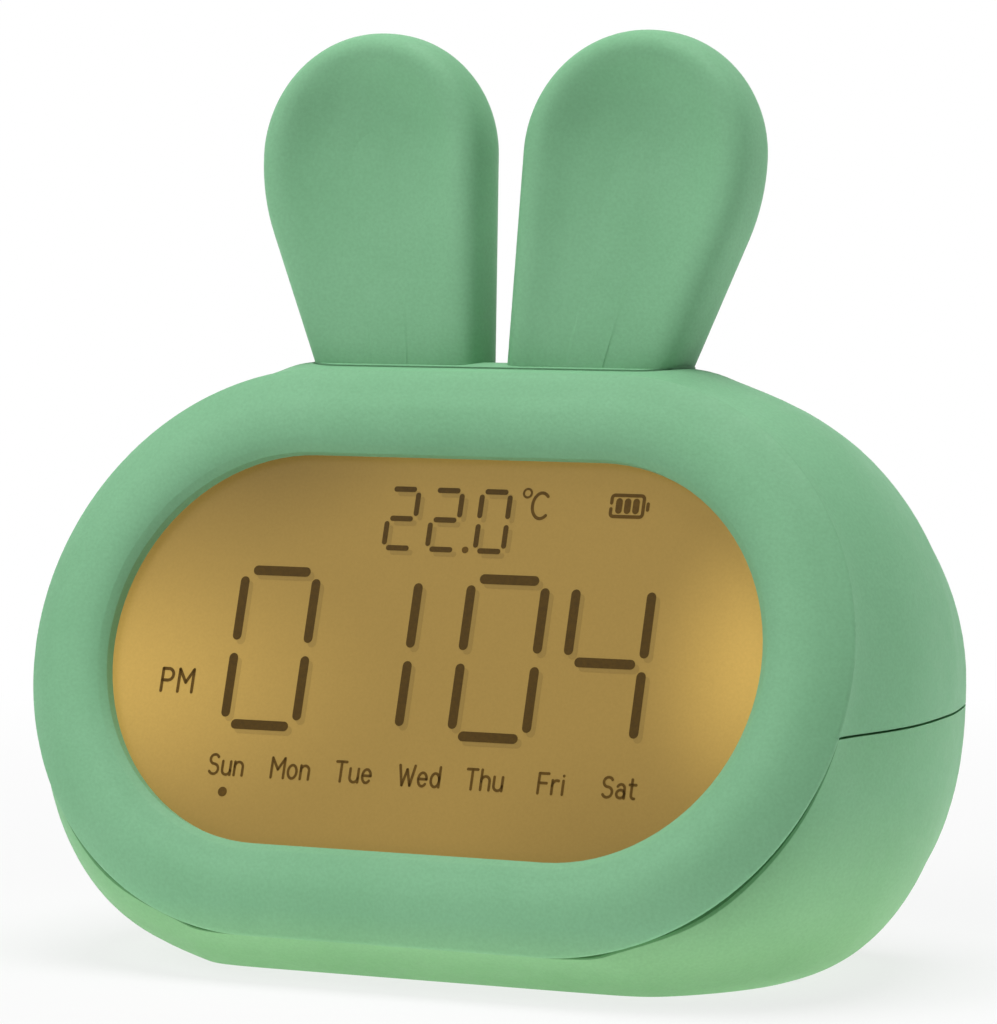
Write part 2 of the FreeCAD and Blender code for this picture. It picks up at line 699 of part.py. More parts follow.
def battery_cell():
    left_end = Vector(-cell_length / 2, cell_y, cell_z)
    cell = Part.makeCylinder(cell_radius - 0.1, cell_length, left_end, Vector(1, 0, 0))
    return cell.makeChamfer(0.6, [edge for edge in cell.Edges if edge.Curve.TypeId == "Part::GeomCircle"])


def battery_strap():
    """Moulded strap over the cell, screwed down at both feet."""
    axis = Vector(1, 0, 0)
    arch = Part.makeCylinder(cell_radius + 1.3, 9, Vector(-4.5, cell_y, cell_z), axis)
    arch = arch.common(box(-5, 5, cell_y - 20, cell_y + 20, strap_foot_z, cell_z + 20))
    reach = strap_screw_y + 2.6
    tabs = box(-4.5, 4.5, cell_y - reach, cell_y + reach, strap_foot_z, strap_foot_z + 1.4)
    hollow = Part.makeCylinder(cell_radius + 0.05, 20, Vector(-10, cell_y, cell_z), axis)
    holes = [rod(1.0, 0, cell_y + reach_to_screw, strap_foot_z - 1, strap_foot_z + 3)
             for reach_to_screw in (-strap_screw_y, strap_screw_y)]
    return arch.fuse(tabs).cut([hollow] + holes).removeSplitter()


def downward_screw(x, y, seat_z, length):
    upright = screw(0, 0, 0, length, 0.88, 1.7, 1.2)
    upright.rotate(Vector(0, 0, 0), Vector(1, 0, 0), 180)
    upright.translate(Vector(x, y, seat_z))
    return upright


def power_board():
    board = box(-28, 28, power_board_front, power_board_rear, power_board_z, power_board_z + 1.2)
    holes = [rod(1.0, x, power_screw_y, power_board_z - 1, power_board_z + 3)
             for x in (-power_screw_x, power_screw_x)]
    return board.cut(holes)


def charging_socket():
    """Folded metal socket with its tongue, open to the back."""
    half_x, half_z = socket_half_width - 0.35, socket_half_height - 0.05
    depth = 7.4
    shell = oval_plate(half_x - half_z, half_z, 0, depth)
    hollow = oval_plate(half_x - half_z, half_z - 0.3, -1, depth - 0.8)
    tongue = box(-3.3, 3.3, -0.35, 0.35, 0.7, depth)
    socket = shell.cut(hollow).fuse(tongue)
    socket.rotate(Vector(0, 0, 0), Vector(1, 0, 0), -90)
    socket.translate(Vector(0, back_y - 0.3, socket_z))
    socket.rotate(Vector(0, back_y - 0.3, socket_z), Vector(0, 0, 1), 180)
    seat = power_board_z + 1.2
    feet = box(-half_x + 0.6, half_x - 0.6, back_y - 6.5, back_y - 3, seat, socket_z - half_z + 0.25)
    return socket.fuse(feet.cut(box(-2, 2, back_y - 7, back_y - 2, seat - 1, socket_z - half_z + 0.26)))


def slide_switch():
    """Body of the alarm switch, with the slot that its knob runs in."""
    x0, x1 = slider_x - 3.5, slider_x + slider_travel + 3.5
    seat = power_board_z + 1.2
    body = box(x0, x1, inner_back_y - 5.0, inner_back_y - 0.8, seat, seat + 3.9)
    slot = box(slider_x - 1.3, slider_x + slider_travel + 1.3, inner_back_y - 3.5, inner_back_y,
               switch_z - 1.0, switch_z + 1.0)
    return body.cut(slot)


def alarm_slider():
    """Ribbed knob of the alarm switch, shown at its off end."""
    stem = box(slider_x - 1.2, slider_x + 1.2, inner_back_y - 3.4, inner_back_y,
               switch_z - 0.9, switch_z + 0.9)
    knob = box(slider_x - slider_half, slider_x + slider_half, inner_back_y - 0.1, back_y + 0.9,
               switch_z - 1.55, switch_z + 1.55)
    grooves = [box(x - 0.2, x + 0.2, back_y + 0.55, back_y + 2, switch_z - 2, switch_z + 2)
               for x in (slider_x - 0.9, slider_x, slider_x + 0.9)]
    return stem.fuse(knob).cut(grooves).removeSplitter()


def ear_bridge():
    """Bridge under the hood that guides the press cap and carries its switch."""
    low = bridge_top - bridge_thickness
    plate = box(-bridge_half_x, bridge_half_x, ear_y - 4, ear_y + 4, low, bridge_top)
    corners = [edge for edge in plate.Edges if abs(edge.Length - bridge_thickness) < 0.01]
    plate = plate.makeFillet(2.5, corners)
    cuts = [rod(post_radius + 0.05, side * post_x, ear_y, low - 1, bridge_top + 5) for side in (-1, 1)]
    cuts += [rod(1.1, side * bridge_screw_x, ear_y, low - 1, bridge_top + 5) for side in (-1, 1)]
    collars = [rod(post_radius + 1.6, side * post_x, ear_y, low, bridge_top) for side in (-1, 1)]
    ribs = [box(-bridge_screw_x + 3, bridge_screw_x - 3, ear_y + dy - 0.6, ear_y + dy + 0.6, low - 1.6, low)
            for dy in (-3.4, 3.4)]
    return plate.fuse(collars + ribs).cut(cuts).removeSplitter()


def ear_switch():
    body = box(-3, 3, ear_y - 3, ear_y + 3, bridge_top, ear_switch_top - 0.6)
    return body.fuse(rod(1.7, 0, ear_y, ear_switch_top - 0.7, ear_switch_top))


def ear_springs():
    """The two return springs, as sleeves the size of their coils."""
    outer, bore = post_radius + 1.1, post_radius + 0.25
    return Part.makeCompound([tube(outer, bore, x, ear_y, bridge_top, spring_top) for x in (-post_x, post_x)])


def build():
    outer = housing_form(0.0)
    inner = housing_form(wall, base_z + wall)
    board_screws = []
    for x, y in board_screw_places:
        one = screw(x, y, board_front - board_thickness, 5.8, 0.98, 1.8, 1.2)
        board_screws.append(on_face(one))
    nodes = {
        "upper_shell": upper_shell(outer, inner),
        "lower_shell": lower_shell(outer, inner),
        "ear_cap": ear_cap(outer),
        "ear_springs": ear_springs(),
        "ear_bridge": ear_bridge(),
        "ear_switch": ear_switch(),
        "bridge_screws": Part.makeCompound([
            screw(side * bridge_screw_x, ear_y, bridge_top - bridge_thickness, 7.5, 0.98, 1.8, 1.2)
            for side in (-1, 1)]),
        "lcd_glass": lcd_glass(),
        "diffuser_film": film(guide_front, -glass_thickness),
        "light_guide": light_guide(),
        "mirror_film": film(mirror_back, guide_back),
        "led_strip_left": led_strip(-1),
        "led_strip_right": led_strip(1),
        "display_frame": display_frame(),
        "lcd_flex": lcd_flex(),
        "main_board": main_board(),
        "board_screws": Part.makeCompound(board_screws),
        "controller_chip": controller_chip(),
        "temperature_sensor": temperature_sensor(),
        "key_board": key_board(),
        "key_board_screws": Part.makeCompound(
            small_screws(key_board_screw_places, key_board_y + 4.6, key_board_y)),
        "key_switches": key_switches(),
        "battery_cell": battery_cell(),
        "battery_strap": battery_strap(),
        "strap_screws": Part.makeCompound([
            downward_screw(0, cell_y + side * strap_screw_y, strap_foot_z + 1.4, 6.5) for side in (-1, 1)]),
        "power_board": power_board(),
        "power_board_screws": Part.makeCompound([
            downward_screw(x, power_screw_y, power_board_z + 1.2, 6.0)
            for x in (-power_screw_x, power_screw_x)]),
        "charging_socket": charging_socket(),
        "slide_switch": slide_switch(),
        "alarm_slider": alarm_slider(),
        "housing_screws": housing_screws(),
        "rubber_feet": feet(),
    }
    nodes.update(board_parts())
    nodes.update(speaker())
    for name, x in key_xs.items():
        nodes[name] = key(x)
    return nodes


if __name__ == "__main__":
    os.makedirs("parts", exist_ok=True)
    for name, shape in build().items():
        print(name, shape.isValid(), len(shape.Solids), round(shape.Volume, 1))
        shape.exportStep("parts/" + name + ".step")
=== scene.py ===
import math

import bmesh
import bpy
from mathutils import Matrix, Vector


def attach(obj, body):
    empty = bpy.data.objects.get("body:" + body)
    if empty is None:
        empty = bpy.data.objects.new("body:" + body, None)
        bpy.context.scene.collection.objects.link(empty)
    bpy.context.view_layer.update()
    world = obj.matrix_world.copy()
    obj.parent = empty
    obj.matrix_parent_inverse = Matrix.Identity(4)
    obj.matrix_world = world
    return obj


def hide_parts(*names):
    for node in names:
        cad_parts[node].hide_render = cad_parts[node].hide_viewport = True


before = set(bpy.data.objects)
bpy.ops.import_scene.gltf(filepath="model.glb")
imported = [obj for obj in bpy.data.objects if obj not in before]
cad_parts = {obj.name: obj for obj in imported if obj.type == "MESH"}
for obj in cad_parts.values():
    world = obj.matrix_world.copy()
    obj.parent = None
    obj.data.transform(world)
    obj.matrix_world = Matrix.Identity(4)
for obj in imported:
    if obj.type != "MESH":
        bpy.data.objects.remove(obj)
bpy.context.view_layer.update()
mm = 0.001              # the frame is in metres, the clock's own numbers here are in mm
print("clock frame loaded:", len(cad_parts), "pieces")


# where the display is: across, up the face, and out of the glass
displayFace = {"y": -19.0, "z": 41.0, "leanBack": 17.9}
ringStraight = 20.0     # the ring's middle line runs straight this far each way, then turns
lean = math.radians(displayFace["leanBack"])
faceCentre = Vector((0, displayFace["y"], displayFace["z"])) * mm
faceAcross = Vector((1, 0, 0))
faceUp = Vector((0, math.sin(lean), math.cos(lean)))
faceOut = Vector((0, -math.cos(lean), math.sin(lean)))


def onFace(across, up, out):
    return faceCentre + (Vector((across, 0, 0)) + faceUp * up + faceOut * out) * mm


# small helpers for the finishes
def startFinish(name, roughness=0.5, metallic=0.0):
    finish = bpy.data.materials.new(name)
    finish.use_nodes = True
    shader = finish.node_tree.nodes["Principled BSDF"]
    shader.inputs["Roughness"].default_value = roughness
    shader.inputs["Metallic"].default_value = metallic
    return finish, shader


def addNode(finish, kind, **values):
    node = finish.node_tree.nodes.new(kind)
    for name, value in values.items():
        setattr(node, name, value)
    return node


def join(finish, source, target):
    finish.node_tree.links.new(source, target)


def spots(finish, size, detail=2.0, stretch=(1, 1, 1)):
    place = addNode(finish, "ShaderNodeTexCoord")
    scale = addNode(finish, "ShaderNodeMapping")
    scale.inputs["Scale"].default_value = stretch
    noise = addNode(finish, "ShaderNodeTexNoise")
    noise.inputs["Scale"].default_value = 1 / (size * mm)
    noise.inputs["Detail"].default_value = detail
    join(finish, place.outputs["Object"], scale.inputs["Vector"])
    join(finish, scale.outputs["Vector"], noise.inputs["Vector"])
    return noise.outputs["Fac"]


def spread(finish, value, low, high, toLow=0.0, toHigh=1.0):
    reach = addNode(finish, "ShaderNodeMapRange")
    for socket, number in (("From Min", low), ("From Max", high), ("To Min", toLow), ("To Max", toHigh)):
        reach.inputs[socket].default_value = number
    join(finish, value, reach.inputs["Value"])
    return reach.outputs["Result"]


def mixColours(finish, amount, first, second, how="MIX"):
    mix = addNode(finish, "ShaderNodeMix", data_type="RGBA", blend_type=how)
    for socket, value in ((mix.inputs[6], first), (mix.inputs[7], second), (mix.inputs[0], amount)):
        if isinstance(value, bpy.types.NodeSocket):
            join(finish, value, socket)
        elif isinstance(value, (int, float)):
            socket.default_value = value
        else:
            socket.default_value = (*value, 1)
    return mix.outputs[2]


def calc(finish, how, first, second=0.0):
    step = addNode(finish, "ShaderNodeMath", operation=how)
    for socket, value in zip(step.inputs, (first, second)):
        if isinstance(value, bpy.types.NodeSocket):
            join(finish, value, socket)
        else:
            socket.default_value = value
    return step.outputs[0]


def tinted(finish, colour, strength):
    tone = addNode(finish, "ShaderNodeCombineColor")
    for socket in tone.inputs:
        join(finish, strength, socket)
    return mixColours(finish, 1.0, colour, tone.outputs[0], "MULTIPLY")


def bumps(finish, shader, heights, depth):
    bump = addNode(finish, "ShaderNodeBump")
    bump.inputs["Strength"].default_value = 1.0
    bump.inputs["Distance"].default_value = depth * mm
    join(finish, heights, bump.inputs["Height"])
    join(finish, bump.outputs["Normal"], shader.inputs["Normal"])


# a value bent through the given points
def curveOf(finish, value, points):
    levels = [level for _, level in points]
    lowest, highest = min(levels), max(levels)
    first, last = points[0][0], points[-1][0]
    bend = addNode(finish, "ShaderNodeFloatCurve")
    line = bend.mapping.curves[0]
    for i, (at, level) in enumerate(points):
        knot = ((at - first) / (last - first), (level - lowest) / (highest - lowest))
        if i in (0, len(points) - 1):
            line.points[0 if i == 0 else -1].location = knot
        else:
            line.points.new(*knot)
    bend.mapping.update()
    join(finish, spread(finish, value, first, last), bend.inputs["Value"])
    return spread(finish, bend.outputs["Value"], 0, 1, lowest, highest)


def fromSrgb(red, green, blue):
    return tuple(c / 12.92 if c <= 0.04045 else ((c + 0.055) / 1.055) ** 2.4
                 for c in (red / 255, green / 255, blue / 255))


# how far a spot on the clock lies along a direction, in mm
def alongFace(finish, direction=faceUp, origin=faceCentre):
    place = addNode(finish, "ShaderNodeTexCoord")
    fromCentre = addNode(finish, "ShaderNodeVectorMath", operation="SUBTRACT")
    fromCentre.inputs[1].default_value = origin
    along = addNode(finish, "ShaderNodeVectorMath", operation="DOT_PRODUCT")
    along.inputs[1].default_value = direction / mm
    join(finish, place.outputs["Object"], fromCentre.inputs[0])
    join(finish, fromCentre.outputs["Vector"], along.inputs[0])
    return along.outputs["Value"]


# how far it lies from the ring's middle line
def fromOvalLine(finish, across, upward):
    pastStraight = calc(finish, "SUBTRACT", calc(finish, "ABSOLUTE", across), ringStraight)
    pastStraight = calc(finish, "MAXIMUM", pastStraight, 0.0)
    squares = calc(finish, "ADD", calc(finish, "POWER", pastStraight, 2.0),
                   calc(finish, "POWER", calc(finish, "ABSOLUTE", upward), 2.0))
    return calc(finish, "SQRT", squares)


# the soft mint plastic of both shells, the ears and the keys
softTouch = {
    "upper": (fromSrgb(127, 181, 140), fromSrgb(121, 176, 134)),
    "lower": (fromSrgb(127, 181, 138), fromSrgb(121, 176, 132)),
    "cloudSize": 26.0,      # slow drift in the colour
    "grainSize": 0.42,      # spark-eroded mould grain
    "grainDepth": 0.03,
    "grainTone": (0.955, 1.045),
    "roughness": 0.62,
    "unevenSize": 2.2,      # patches a little smoother and rougher
    "uneven": (-0.05, 0.06),
    "shine": 0.22,
    "paintedBounceTint": (1.08, 1.0, 0.88),       # painted warm bounce light from the table: yellower near it
    "upperBounceHeights": (10.0, 3.0),           # heights at which the painted bounce light starts and is full
    "lowerBounceHeights": (26.0, 6.0),
}
# painted shade round the ring: darker at its inner edge and on its outer shoulder, by distance from its middle line;
# and where the ring starts out of the face
ringPaintedShade = ((25.3, 0.88), (27.0, 0.92), (29.6, 0.98), (31.5, 0.98), (34.0, 0.95), (36.9, 0.97))
ringStarts = (-0.3, 0.3)
seamShade = {"from": -0.62, "to": -0.52, "colour": (0.36, 0.52, 0.38)}      # the tub's edge inside the parting line


def softTouchGreen(name, tones, look=softTouch, bounceHeights=softTouch["upperBounceHeights"], ring=None, seam=None):
    finish, shader = startFinish(name, look["roughness"])
    clouds = spread(finish, spots(finish, look["cloudSize"], 3), 0.35, 0.65)
    body = mixColours(finish, clouds, tones[1], tones[0])
    # painted bounce light: the colour turns yellower towards the bottom
    low = spread(finish, alongFace(finish, Vector((0, 0, 1)), Vector()), *bounceHeights)
    body = mixColours(finish, low, body, mixColours(finish, 1.0, body, look["paintedBounceTint"], "MULTIPLY"))
    grain = spots(finish, look["grainSize"], 3)
    body = tinted(finish, body, spread(finish, grain, 0.3, 0.7, *look["grainTone"]))
    bumps(finish, shader, grain, look["grainDepth"])
    if ring or seam:
        outward = alongFace(finish, faceOut)
    # painted shade round the ring, darkest next to the display and on the outer shoulder
    if ring:
        away = fromOvalLine(finish, alongFace(finish, faceAcross), alongFace(finish))
        onRing = spread(finish, outward, *ringStarts)
        change = calc(finish, "MULTIPLY", onRing, calc(finish, "SUBTRACT", curveOf(finish, away, ring), 1.0))
        body = tinted(finish, body, calc(finish, "ADD", 1.0, change))
    if seam:
        shade = spread(finish, outward, seam["from"], seam["to"])
        body = mixColours(finish, shade, body, mixColours(finish, 1.0, body, seam["colour"], "MULTIPLY"))
    join(finish, body, shader.inputs["Base Color"])
    uneven = [look["roughness"] + change for change in look["uneven"]]
    join(finish, spread(finish, spots(finish, look["unevenSize"], 4), 0.3, 0.7, *uneven), shader.inputs["Roughness"])
    shader.inputs["Specular IOR Level"].default_value = look["shine"]
    return finish


# the lit display: two glows from its ends and two dull corners, over an even amber
amberGlow = {
    "middle": fromSrgb(158, 129, 65),
    # across, up, how far each way, and how much brighter or duller
    "patches": ((-60.0, -5.3, 59.5, 24.5, 0.88), (45.5, 0.8, 18.6, 22.5, 0.88),
                (-26.0, 26.0, 24.0, 16.0, -0.30), (28.0, -24.0, 24.0, 18.0, -0.15)),
    "mottleSize": 0.35,
    "mottle": (0.97, 1.03),
    "lit": 0.6,             # share of the colour that the display gives off itself
    "roughness": 0.42,
    "shine": 0.1,
    "grainSize": 0.25,
    "grainDepth": 0.006,
}


def amberColour(finish, look, shade):
    across = alongFace(finish, faceAcross)
    upward = alongFace(finish)
    mottle = [tone * shade for tone in look["mottle"]]
    level = spread(finish, spots(finish, look["mottleSize"], 2), 0.3, 0.7, *mottle)
    for atAcross, atUp, reachAcross, reachUp, gain in look["patches"]:
        sides = []
        for value, middle, reach in ((across, atAcross, reachAcross), (upward, atUp, reachUp)):
            shifted = calc(finish, "DIVIDE", calc(finish, "SUBTRACT", value, middle), reach)
            sides.append(calc(finish, "MULTIPLY", shifted, shifted))
        away = calc(finish, "SQRT", calc(finish, "ADD", *sides))
        near = addNode(finish, "ShaderNodeMapRange", interpolation_type="SMOOTHSTEP")
        near.inputs["From Min"].default_value = 1.0
        near.inputs["From Max"].default_value = 0.0
        join(finish, away, near.inputs["Value"])
        gained = calc(finish, "ADD", calc(finish, "MULTIPLY", near.outputs["Result"], gain), 1.0)
        level = calc(finish, "MULTIPLY", level, gained)
    return tinted(finish, look["middle"], level)


def amberDisplay(name, shade=1.0, look=amberGlow):
    finish, shader = startFinish(name, look["roughness"])
    colour = amberColour(finish, look, shade)
    dimmed = mixColours(finish, 1.0, colour, (1 - look["lit"],) * 3, "MULTIPLY")
    join(finish, dimmed, shader.inputs["Base Color"])
    join(finish, colour, shader.inputs["Emission Color"])
    shader.inputs["Emission Strength"].default_value = look["lit"]
    shader.inputs["Specular IOR Level"].default_value = look["shine"]
    bumps(finish, shader, spots(finish, look["grainSize"], 2), look["grainDepth"])
    return finish


# the dark segments and the printed marks
segmentInk = {
    "segment": fromSrgb(70, 50, 6), "print": fromSrgb(83, 59, 10),
    "mottleSize": 0.5, "lighter": 1.2,
    "roughness": 0.45, "shine": 0.1,
    "grainSize": 0.25, "grainDepth": 0.004,
}


def darkSegment(name, colour, look=segmentInk):
    finish, shader = startFinish(name, look["roughness"])
    mottled = mixColours(finish, spread(finish, spots(finish, look["mottleSize"], 2), 0.35, 0.65), colour,
                         tuple(c * look["lighter"] for c in colour))
    join(finish, mottled, shader.inputs["Base Color"])
    shader.inputs["Specular IOR Level"].default_value = look["shine"]
    bumps(finish, shader, spots(finish, look["grainSize"], 2), look["grainDepth"])
    return finish


# plastics, films and rubber inside and under the clock
insidePlastic = {"patchSize": 9, "patchShade": 0.93, "unevenSize": 3, "uneven": 0.07}


def mouldedPlastic(name, colour, roughness=0.5, grain=0.5, depth=0.02, look=insidePlastic):
    finish, shader = startFinish(name, roughness)
    patches = spread(finish, spots(finish, look["patchSize"], 3), 0.35, 0.65)
    duller = tuple(c * look["patchShade"] for c in colour)
    join(finish, mixColours(finish, patches, duller, colour), shader.inputs["Base Color"])
    uneven = (roughness - look["uneven"], roughness + look["uneven"])
    join(finish, spread(finish, spots(finish, look["unevenSize"], 3), 0.3, 0.7, *uneven), shader.inputs["Roughness"])
    bumps(finish, shader, spots(finish, grain, 3), depth)
    return finish


# plated screws, springs and cans
platedMetal = {"streakSize": 0.9, "stretch": (1, 1, 14), "streakShade": 0.85, "uneven": (-0.08, 0.1), "depth": 0.01}


def plainMetal(name, colour, roughness=0.32, look=platedMetal):
    finish, shader = startFinish(name, roughness, 1.0)
    streaks = spots(finish, look["streakSize"], 4, look["stretch"])
    duller = tuple(c * look["streakShade"] for c in colour)
    join(finish, mixColours(finish, spread(finish, streaks, 0.3, 0.7), duller, colour), shader.inputs["Base Color"])
    uneven = [roughness + change for change in look["uneven"]]
    join(finish, spread(finish, streaks, 0.3, 0.7, *uneven), shader.inputs["Roughness"])
    bumps(finish, shader, streaks, look["depth"])
    return finish


# solder mask, with tracks showing through it
boardTracks = {
    "Scale": 260,
    "Color1": (0.012, 0.11, 0.04, 1), "Color2": (0.015, 0.14, 0.05, 1),
    "Mortar": (0.03, 0.2, 0.07, 1), "Mortar Size": 0.03,
}
boardFinish = {"roughness": 0.35, "depth": 0.03}


def circuitBoard(name):
    finish, shader = startFinish(name, boardFinish["roughness"])
    place = addNode(finish, "ShaderNodeTexCoord")
    tracks = addNode(finish, "ShaderNodeTexBrick")
    for socket, value in boardTracks.items():
        tracks.inputs[socket].default_value = value
    join(finish, place.outputs["Object"], tracks.inputs["Vector"])
    join(finish, tracks.outputs["Color"], shader.inputs["Base Color"])
    bumps(finish, shader, tracks.outputs["Fac"], boardFinish["depth"])
    return finish


finishes = {
    "upperGreen": softTouchGreen("softTouchGreen", softTouch["upper"]),
    "ringGreen": softTouchGreen("softTouchGreenRing", softTouch["upper"], ring=ringPaintedShade),
    "lowerGreen": softTouchGreen("softTouchGreenLower", softTouch["lower"], bounceHeights=softTouch["lowerBounceHeights"],
                                 seam=seamShade),
    "display": amberDisplay("amberDisplay"),
    "segment": darkSegment("darkSegment", segmentInk["segment"]),
    "print": darkSegment("printedMark", segmentInk["print"]),
    "shadow": amberDisplay("segmentShadow", 0.82),
    # colour, and where they differ from the plain ones: roughness, grain size, grain depth
    "white": mouldedPlastic("whitePlastic", (0.72, 0.72, 0.69)),
    "black": mouldedPlastic("blackPlastic", (0.03, 0.03, 0.032), 0.45),
    "resin": mouldedPlastic("blackResin", (0.012, 0.012, 0.014), 0.2, 2.0, 0.05),
    "film": mouldedPlastic("whiteFilm", (0.8, 0.8, 0.78), 0.35, 0.2, 0.004),
    "acrylic": mouldedPlastic("clearAcrylic", (0.85, 0.83, 0.76), 0.12, 4.0, 0.004),
    "led": mouldedPlastic("amberEmitter", (0.85, 0.5, 0.1), 0.3, 0.6, 0.01),
    "flex": mouldedPlastic("flexFilm", (0.45, 0.22, 0.05), 0.3, 1.0, 0.006),
    "board": circuitBoard("greenBoard"),
    "steel": plainMetal("platedSteel", (0.55, 0.55, 0.56)),
    "can": plainMetal("nickelCan", (0.66, 0.64, 0.6), 0.28),
    "paper": mouldedPlastic("speakerPaper", (0.02, 0.02, 0.02), 0.8, 0.3, 0.05),
    "sleeve": mouldedPlastic("cellSleeve", (0.05, 0.13, 0.34), 0.3, 3.0, 0.01),
    "rubber": mouldedPlastic("greyRubber", (0.09, 0.09, 0.09), 0.8, 0.3, 0.03),
}
wears = {
    "upperGreen": ["ear_cap", "set_key", "plus_key", "minus_key", "alarm_key"],
    "ringGreen": ["upper_shell"],
    "lowerGreen": ["lower_shell"],
    "display": ["lcd_glass"],
    "white": ["ear_bridge", "display_frame", "wire_socket", "battery_strap"],
    "black": ["ear_switch", "capacitor", "key_switches", "alarm_slider"],
    "resin": ["controller_chip", "temperature_sensor"],
    "film": ["diffuser_film", "mirror_film"],
    "acrylic": ["light_guide"],
    "led": ["led_strip_left", "led_strip_right"],
    "flex": ["lcd_flex"],
    "board": ["main_board", "key_board", "power_board"],
    "steel": ["ear_springs", "bridge_screws", "board_screws", "key_board_screws", "strap_screws",
              "power_board_screws", "housing_screws", "speaker_magnet"],
    "can": ["quartz_crystal", "speaker_frame", "charging_socket", "slide_switch"],
    "paper": ["speaker_cone"],
    "sleeve": ["battery_cell"],
    "rubber": ["rubber_feet"],
}
for finishName, nodeNames in wears.items():
    for nodeName in nodeNames:
        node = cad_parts[nodeName]
        node.data.materials.clear()
        node.data.materials.append(finishes[finishName])
print("finishes on", sum(len(names) for names in wears.values()), "pieces")


# the ring's crest, worked rounder than the frame has it: a copy of the shell stands for the node
rounderRing = {
    # distance from the ring's middle line, and how far the surface rises out of the face
    "rises": ((25.3, 0.80), (26.2, 0.75), (28.0, 0.33), (30.0, 0.04), (31.0, -0.05), (32.6, -0.29), (34.1, -0.58),
              (36.05, -0.83), (36.9, -0.40)),
    "foot": 0.001,          # nothing moves at the foot of the ring, or behind it
    "fadeIn": 0.8,
}


# a smooth curve through the rises, and its slope
def riseAt(away, rises):
    away = max(rises[0][0], min(rises[-1][0], away))
    i = max(k for k in range(len(rises) - 1) if rises[k][0] <= away)
    step = rises[i + 1][0] - rises[i][0]
    tangents = []
    for k in (i, i + 1):
        before, after = rises[max(0, k - 1)], rises[min(len(rises) - 1, k + 1)]
        tangents.append((after[1] - before[1]) / (after[0] - before[0]) * step)
    t, low, high = (away - rises[i][0]) / step, rises[i][1], rises[i + 1][1]
    rise = (low * (2 * t ** 3 - 3 * t * t + 1) + tangents[0] * (t ** 3 - 2 * t * t + t)
            + high * (3 * t * t - 2 * t ** 3) + tangents[1] * (t ** 3 - t * t))
    slope = (low * (6 * t * t - 6 * t) + tangents[0] * (3 * t * t - 4 * t + 1)
             + high * (6 * t - 6 * t * t) + tangents[1] * (3 * t * t - 2 * t)) / step
    return rise, slope


def ringShift(point, look=rounderRing):
    fromCentre = (point - faceCentre) / mm
    across, up, out = fromCentre.x, fromCentre.dot(faceUp), fromCentre.dot(faceOut)
    if out < look["foot"]:
        return 0.0, Vector()
    side = across - max(-ringStraight, min(ringStraight, across))
    rise, slope = riseAt(math.hypot(side, up), look["rises"])
    share = min(1.0, out / look["fadeIn"])
    fade, fading = share * share * (3 - 2 * share), 6 * share * (1 - share) / look["fadeIn"]
    outwards = (Vector((side, 0, 0)) + faceUp * up).normalized()
    return rise * fade, outwards * (slope * fade) + faceOut * (rise * fading)


def roundedShell(name):
    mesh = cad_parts["upper_shell"].data.copy()
    mesh.name = name
    shifts = [ringShift(vertex.co) for vertex in mesh.vertices]
    normals = []
    for loop, corner in zip(mesh.loops, mesh.corner_normals):
        lean = shifts[loop.vertex_index][1]
        facing = corner.vector.copy()
        normals.append((facing - lean * (faceOut.dot(facing) / (1 + faceOut.dot(lean)))).normalized())
    for vertex, (rise, _) in zip(mesh.vertices, shifts):
        vertex.co += faceOut * (rise * mm)
    mesh.normals_split_custom_set(normals)
    piece = bpy.data.objects.new(name, mesh)
    bpy.context.scene.collection.objects.link(piece)
    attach(piece, "housing")
    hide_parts("upper_shell")


roundedShell("upper_shell_rounded")
print("ring rounded")


# marks on the display: strokes with round ends, laid on the glass
strokeEnds = {"steps": 8, "meet": 0.001}        # faces round an end, and the gap that counts as a closed loop


def strokeOutline(bm, path, width, out):
    half, count = width / 2, len(path)
    left, right = [], []
    loop = math.dist(path[0], path[-1]) < strokeEnds["meet"]
    for i, (across, up) in enumerate(path):
        before = path[-2] if loop and i == 0 else path[max(0, i - 1)]
        after = path[1] if loop and i == count - 1 else path[min(count - 1, i + 1)]
        run = Vector((after[0] - before[0], after[1] - before[1])).normalized()
        left.append(bm.verts.new(onFace(across - run.y * half, up + run.x * half, out)))
        right.append(bm.verts.new(onFace(across + run.y * half, up - run.x * half, out)))
    for i in range(count - 1):
        bm.faces.new((left[i], right[i], right[i + 1], left[i + 1]))
    if loop:                     # it needs no round ends
        return
    for end, inward, first, last in ((0, 1, left[0], right[0]), (count - 1, count - 2, right[-1], left[-1])):
        run = Vector((path[end][0] - path[inward][0], path[end][1] - path[inward][1])).normalized()
        start = math.atan2(run.y, run.x) - math.pi / 2
        rim = []
        for step in range(1, strokeEnds["steps"]):
            turn = start + math.pi * step / strokeEnds["steps"]
            spot = (path[end][0] + half * math.cos(turn), path[end][1] + half * math.sin(turn))
            rim.append(bm.verts.new(onFace(*spot, out)))
        bm.faces.new([first] + rim + [last])


def arc(across, up, wide, tall, fromAngle, toAngle, steps=14):
    turns = [math.radians(fromAngle + (toAngle - fromAngle) * i / steps) for i in range(steps + 1)]
    return [(across + wide * math.cos(turn), up + tall * math.sin(turn)) for turn in turns]


